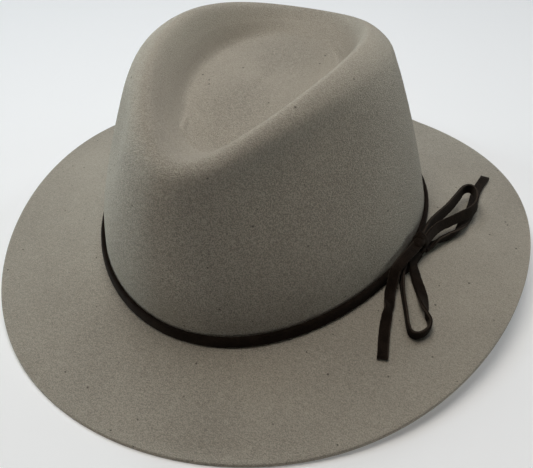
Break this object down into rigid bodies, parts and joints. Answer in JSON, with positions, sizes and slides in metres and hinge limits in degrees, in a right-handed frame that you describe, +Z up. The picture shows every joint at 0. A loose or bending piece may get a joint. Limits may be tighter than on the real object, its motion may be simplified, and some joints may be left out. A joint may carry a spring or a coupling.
{
  "type": "wool felt fedora hat with a lace bow",
  "caption": "Soft felt hat with a dipped teardrop crown, a wide raw-edged brim turned up at the sides, and a thin leather lace tied in a bow at the crown's foot.",
  "frame": {"origin": "on the surface that the hat rests on, under the middle of the brim", "axes": "+Z up; the front of the hat faces -Y; the bow is on the +X side, the wearer's left"},
  "size_m": [0.2822, 0.323, 0.1262],
  "materials": {
    "felt": "light grey-beige wool felt, matt, with a short nap and a few dark fibres",
    "lace": "very dark brown suede lace, matt, with rough cut edges"
  },
  "bodies": {
    "root": {"felt_body": "felt", "band": "lace", "bow_knot": "lace", "bow_loop_rear": "lace", "bow_loop_front": "lace", "bow_tail_rear": "lace", "bow_tail_front": "lace"}
  },
  "joints": []
}
